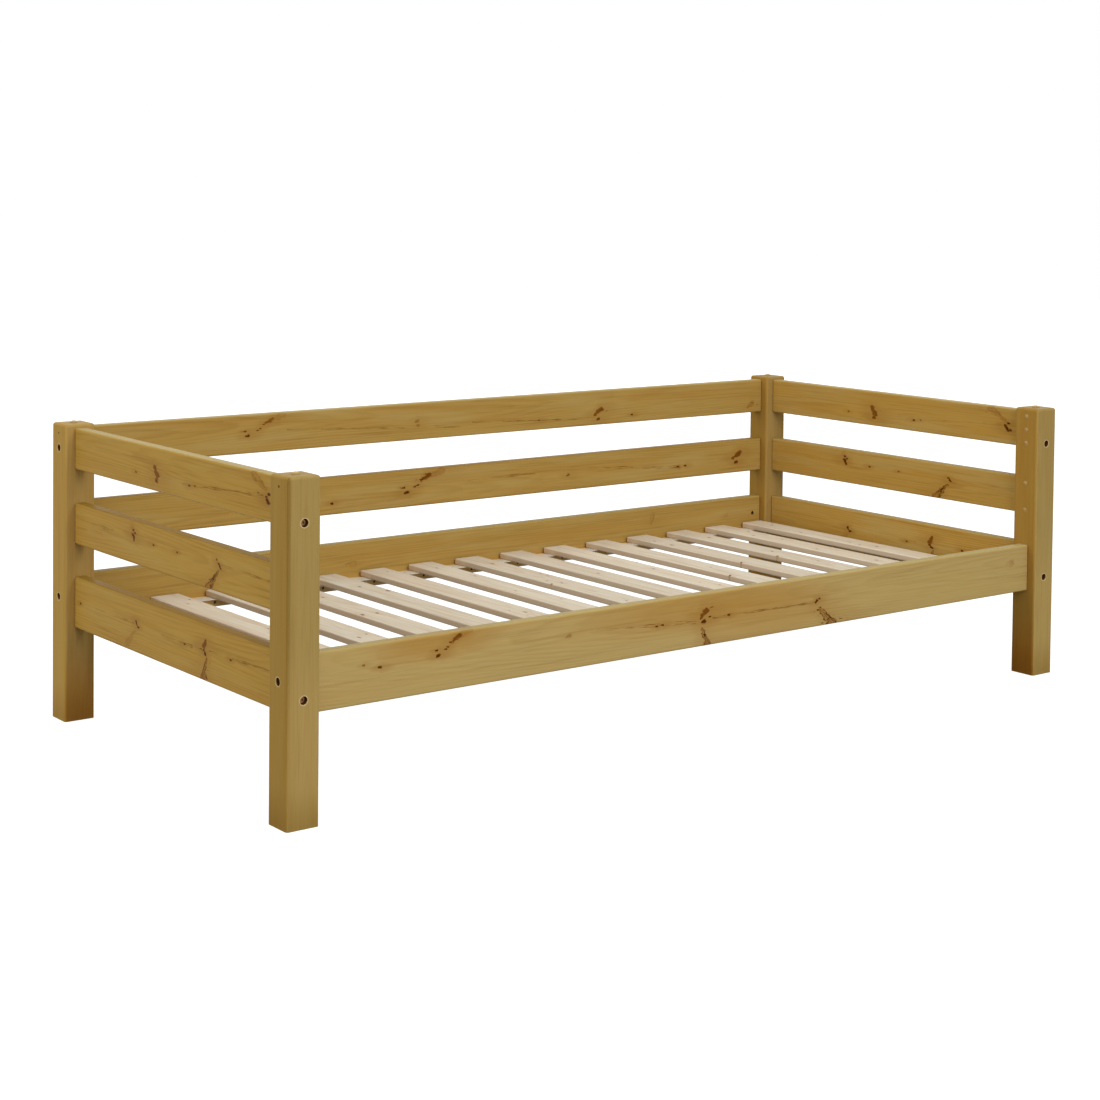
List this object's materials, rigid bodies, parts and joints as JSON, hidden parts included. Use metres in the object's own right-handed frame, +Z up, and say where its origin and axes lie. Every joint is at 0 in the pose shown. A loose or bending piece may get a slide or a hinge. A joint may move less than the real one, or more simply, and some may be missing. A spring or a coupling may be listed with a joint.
{
  "type": "kids bed",
  "caption": "Solid pine child's daybed with square posts, railed back and ends, an open front over one low rail, and a slatted base that lifts out and carries a mattress.",
  "frame": {"origin": "on the floor under the middle of the bed", "axes": "+X along the bed, -Y out of the open front, +Z up"},
  "size_m": [2.104, 1.004, 0.643],
  "materials": {
    "stained_pine": "satin waxed honey stain with knots",
    "plug_wood": "satin waxed honey stain",
    "pale_pine": "bare planed",
    "dowel_beech": "bare turned",
    "webbing": "woven",
    "zinc_steel": "zinc plated"
  },
  "bodies": {
    "bed_frame": {"front_left_post": "stained_pine", "front_right_post": "stained_pine", "back_left_post": "stained_pine", "back_right_post": "stained_pine", "left_top_rail": "stained_pine", "left_middle_rail": "stained_pine", "left_bottom_rail": "stained_pine", "right_top_rail": "stained_pine", "right_middle_rail": "stained_pine", "right_bottom_rail": "stained_pine", "back_top_rail": "stained_pine", "back_middle_rail": "stained_pine", "back_bottom_rail": "stained_pine", "front_rail": "stained_pine", "front_ledger": "pale_pine", "back_ledger": "pale_pine", "post_top_plugs": "plug_wood", "guard_rail_plugs": "plug_wood", "rail_dowels": "dowel_beech", "connector_bolts": "zinc_steel", "bolt_washers": "zinc_steel", "barrel_nuts": "zinc_steel", "ledger_screws": "zinc_steel"},
    "slat_base": {"slat_01": "pale_pine", "slat_02": "pale_pine", "slat_03": "pale_pine", "slat_04": "pale_pine", "slat_05": "pale_pine", "slat_06": "pale_pine", "slat_07": "pale_pine", "slat_08": "pale_pine", "slat_09": "pale_pine", "slat_10": "pale_pine", "slat_11": "pale_pine", "slat_12": "pale_pine", "slat_13": "pale_pine", "slat_14": "pale_pine", "slat_15": "pale_pine", "front_strap": "webbing", "back_strap": "webbing", "strap_staples": "zinc_steel"}
  },
  "joints": [
    {"name": "slat_base_lift", "type": "slide", "parent": "bed_frame", "child": "slat_base", "axis": [0, 0, 1], "range_m": [0, 0.45]}
  ]
}
